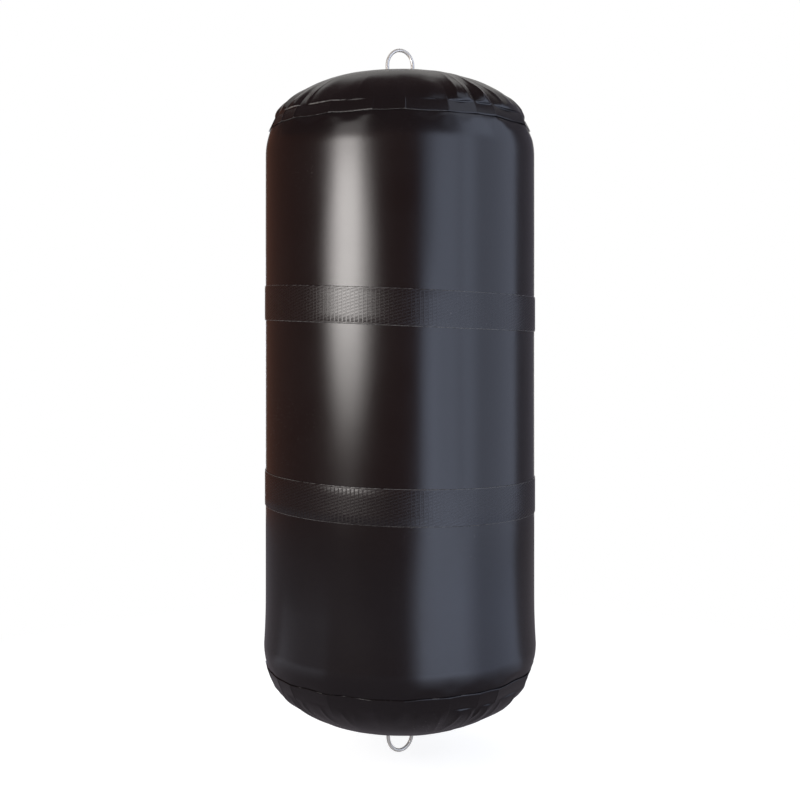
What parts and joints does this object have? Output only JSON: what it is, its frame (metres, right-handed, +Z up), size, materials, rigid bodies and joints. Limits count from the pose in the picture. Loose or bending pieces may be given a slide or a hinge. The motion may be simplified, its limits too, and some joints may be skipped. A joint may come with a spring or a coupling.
{
  "type": "inflatable boat fender",
  "caption": "Tall inflated cylinder fender of coated fabric with gathered domed ends, two woven wear bands, a filling valve and a steel D-ring in a webbing loop at each pole.",
  "frame": {"origin": "inside of the top D-ring's crown, where the line or shackle that holds the fender pulls", "axes": "+Z up along the fender's long axis, -Y towards the viewer, +X to the viewer's right, with the long lap seam and the valve at +Y"},
  "size_m": [0.6069, 0.6075, 1.58],
  "materials": {
    "coated_fabric": "black vinyl-coated fabric, semi-gloss with fine grain",
    "fabric_patch": "black vinyl-coated fabric, welded on",
    "ribbed_band": "black ribbed weave, coated",
    "webbing": "black woven polyester strap",
    "stainless": "polished stainless wire",
    "valve_plastic": "black moulded plastic, satin",
    "valve_rubber": "matt rubber"
  },
  "bodies": {
    "top_ring": {"top_ring": "stainless"},
    "fender": {"body": "coated_fabric", "top_end_cap": "coated_fabric", "bottom_end_cap": "coated_fabric", "upper_wear_band": "ribbed_band", "lower_wear_band": "ribbed_band", "top_ring_base": "fabric_patch", "top_ring_loop": "webbing", "bottom_ring_base": "fabric_patch", "bottom_ring_loop": "webbing", "valve_patch": "fabric_patch", "valve_base": "valve_plastic", "valve_insert": "valve_plastic", "valve_diaphragm": "valve_rubber"},
    "bottom_ring": {"bottom_ring": "stainless"},
    "valve_cap": {"valve_cap": "valve_plastic"}
  },
  "joints": [
    {"name": "top_ring_swing", "type": "hinge", "parent": "top_ring", "child": "fender", "pos_m": [0, 0, -0.0505], "axis": [0.9744, 0.225, 0], "range_deg": [-88, 88]},
    {"name": "bottom_ring_swing", "type": "hinge", "parent": "fender", "child": "bottom_ring", "pos_m": [0, 0, -1.51355], "axis": [0.9135, 0.4067, 0], "range_deg": [-88, 88]},
    {"name": "valve_cap_lift", "type": "slide", "parent": "fender", "child": "valve_cap", "axis": [0, 0.1878, 0.9822], "range_m": [0, 0.03]}
  ]
}
